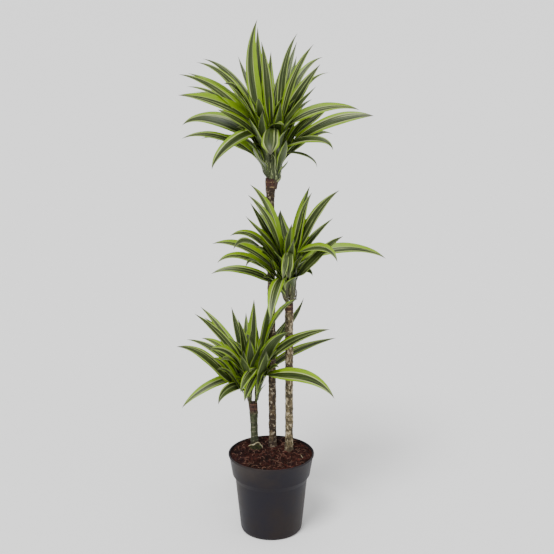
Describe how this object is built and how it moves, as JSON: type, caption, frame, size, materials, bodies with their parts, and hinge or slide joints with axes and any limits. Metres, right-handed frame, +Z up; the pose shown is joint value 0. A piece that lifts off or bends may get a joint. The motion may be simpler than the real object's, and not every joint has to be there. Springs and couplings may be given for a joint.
{
  "type": "potted dracaena",
  "caption": "Floor plant: three bare canes of different heights in a tapered round nursery pot, each topped by a crown of long striped leaves.",
  "frame": {"origin": "centre of the pot's flat base", "axes": "+Z up along the pot's axis; the picture was taken from the -Y side, with +X to its right"},
  "size_m": [0.563, 0.4412, 1.406],
  "materials": {
    "pot": "satin",
    "soil": "matte",
    "cane": "matte",
    "leaf": "satin"
  },
  "bodies": {
    "root": {"pot": "pot", "soil": "soil", "cane_short": "cane", "cane_middle": "cane", "cane_tall": "cane", "crown_short": "leaf", "crown_middle": "leaf", "crown_tall": "leaf"}
  },
  "joints": []
}
